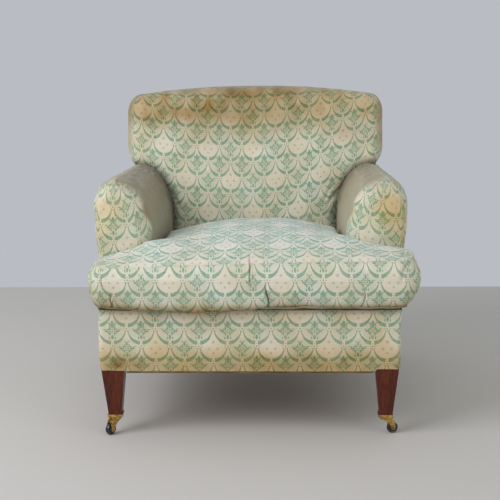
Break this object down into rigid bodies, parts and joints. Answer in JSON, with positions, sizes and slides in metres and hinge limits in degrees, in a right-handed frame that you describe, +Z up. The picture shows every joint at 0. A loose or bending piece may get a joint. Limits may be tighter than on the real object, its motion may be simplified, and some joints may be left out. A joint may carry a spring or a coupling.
{
  "type": "low upholstered easy chair",
  "caption": "Low old-fashioned easy chair with padded arms and back, a domed loose seat cushion, tapered legs and brass castors.",
  "frame": {"origin": "bottom centre of the overall box, on the floor", "axes": "+Z up, +Y from the front of the seat to the back, +X to the right seen from the front"},
  "size_m": [0.792, 0.8358, 0.816],
  "materials": {
    "ticking": "matte",
    "mahogany": "satin",
    "beech": "matte",
    "brass": "polished",
    "axle_steel": "satin",
    "wheel_ceramic": "gloss",
    "spring_steel": "satin",
    "webbing": "matte",
    "hessian": "matte",
    "horsehair": "matte",
    "lining": "matte"
  },
  "bodies": {
    "chair": {"front_leg_left": "mahogany", "front_leg_right": "mahogany", "rear_post_left": "mahogany", "rear_post_right": "mahogany", "front_seat_rail": "beech", "rear_seat_rail": "beech", "back_lower_rail": "beech", "back_top_rail": "beech", "side_seat_rail_left": "beech", "side_seat_rail_right": "beech", "corner_block_left": "beech", "corner_block_right": "beech", "arm_stump_left": "beech", "arm_stump_right": "beech", "arm_rail_left": "beech", "arm_rail_right": "beech", "seat_webbing": "webbing", "back_webbing": "webbing", "seat_spring_front_left": "spring_steel", "seat_spring_front_centre": "spring_steel", "seat_spring_front_right": "spring_steel", "seat_spring_middle_left": "spring_steel", "seat_spring_middle_centre": "spring_steel", "seat_spring_middle_right": "spring_steel", "seat_spring_back_left": "spring_steel", "seat_spring_back_centre": "spring_steel", "seat_spring_back_right": "spring_steel", "seat_hessian": "hessian", "dust_cover": "hessian", "seat_deck_pad": "horsehair", "back_pad": "horsehair", "arm_pad_left": "horsehair", "arm_pad_right": "horsehair", "seat_deck_cover": "lining", "front_border_cover": "ticking", "outside_arm_cover_left": "ticking", "outside_arm_cover_right": "ticking", "arm_cover_left": "ticking", "arm_cover_right": "ticking", "inside_back_cover": "ticking", "outside_back_cover": "ticking", "seat_cushion": "ticking", "castor_cup_front_left": "brass", "castor_cup_front_right": "brass", "castor_cup_rear_left": "brass", "castor_cup_rear_right": "brass"},
    "castor_swivel_front_left": {"castor_horn_front_left": "brass", "castor_axle_front_left": "axle_steel"},
    "castor_roller_front_left": {"castor_wheel_front_left": "wheel_ceramic"},
    "castor_swivel_front_right": {"castor_horn_front_right": "brass", "castor_axle_front_right": "axle_steel"},
    "castor_roller_front_right": {"castor_wheel_front_right": "wheel_ceramic"},
    "castor_swivel_rear_left": {"castor_horn_rear_left": "brass", "castor_axle_rear_left": "axle_steel"},
    "castor_roller_rear_left": {"castor_wheel_rear_left": "wheel_ceramic"},
    "castor_swivel_rear_right": {"castor_horn_rear_right": "brass", "castor_axle_rear_right": "axle_steel"},
    "castor_roller_rear_right": {"castor_wheel_rear_right": "wheel_ceramic"}
  },
  "joints": [
    {"name": "swivel_front_left", "type": "hinge", "parent": "chair", "child": "castor_swivel_front_left", "pos_m": [-0.3382, -0.34207, 0.0365], "axis": [0, 0, 1], "continuous": true},
    {"name": "roll_front_left", "type": "hinge", "parent": "castor_swivel_front_left", "child": "castor_roller_front_left", "pos_m": [-0.35024, -0.35545, 0.014], "axis": [0.7431, -0.6691, 0], "continuous": true},
    {"name": "swivel_front_right", "type": "hinge", "parent": "chair", "child": "castor_swivel_front_right", "pos_m": [0.3202, -0.34207, 0.0365], "axis": [0, 0, 1], "continuous": true},
    {"name": "roll_front_right", "type": "hinge", "parent": "castor_swivel_front_right", "child": "castor_roller_front_right", "pos_m": [0.3375, -0.33711, 0.014], "axis": [-0.2756, 0.9613, 0], "continuous": true},
    {"name": "swivel_rear_left", "type": "hinge", "parent": "chair", "child": "castor_swivel_rear_left", "pos_m": [-0.3412, 0.38305, 0.0365], "axis": [0, 0, 1], "continuous": true},
    {"name": "roll_rear_left", "type": "hinge", "parent": "castor_swivel_rear_left", "child": "castor_roller_rear_left", "pos_m": [-0.34965, 0.39894, 0.014], "axis": [-0.8829, -0.4695, 0], "continuous": true},
    {"name": "swivel_rear_right", "type": "hinge", "parent": "chair", "child": "castor_swivel_rear_right", "pos_m": [0.3232, 0.38305, 0.0365], "axis": [0, 0, 1], "continuous": true},
    {"name": "roll_rear_right", "type": "hinge", "parent": "castor_swivel_rear_right", "child": "castor_roller_rear_right", "pos_m": [0.32816, 0.40035, 0.014], "axis": [-0.9613, 0.2756, 0], "continuous": true}
  ]
}
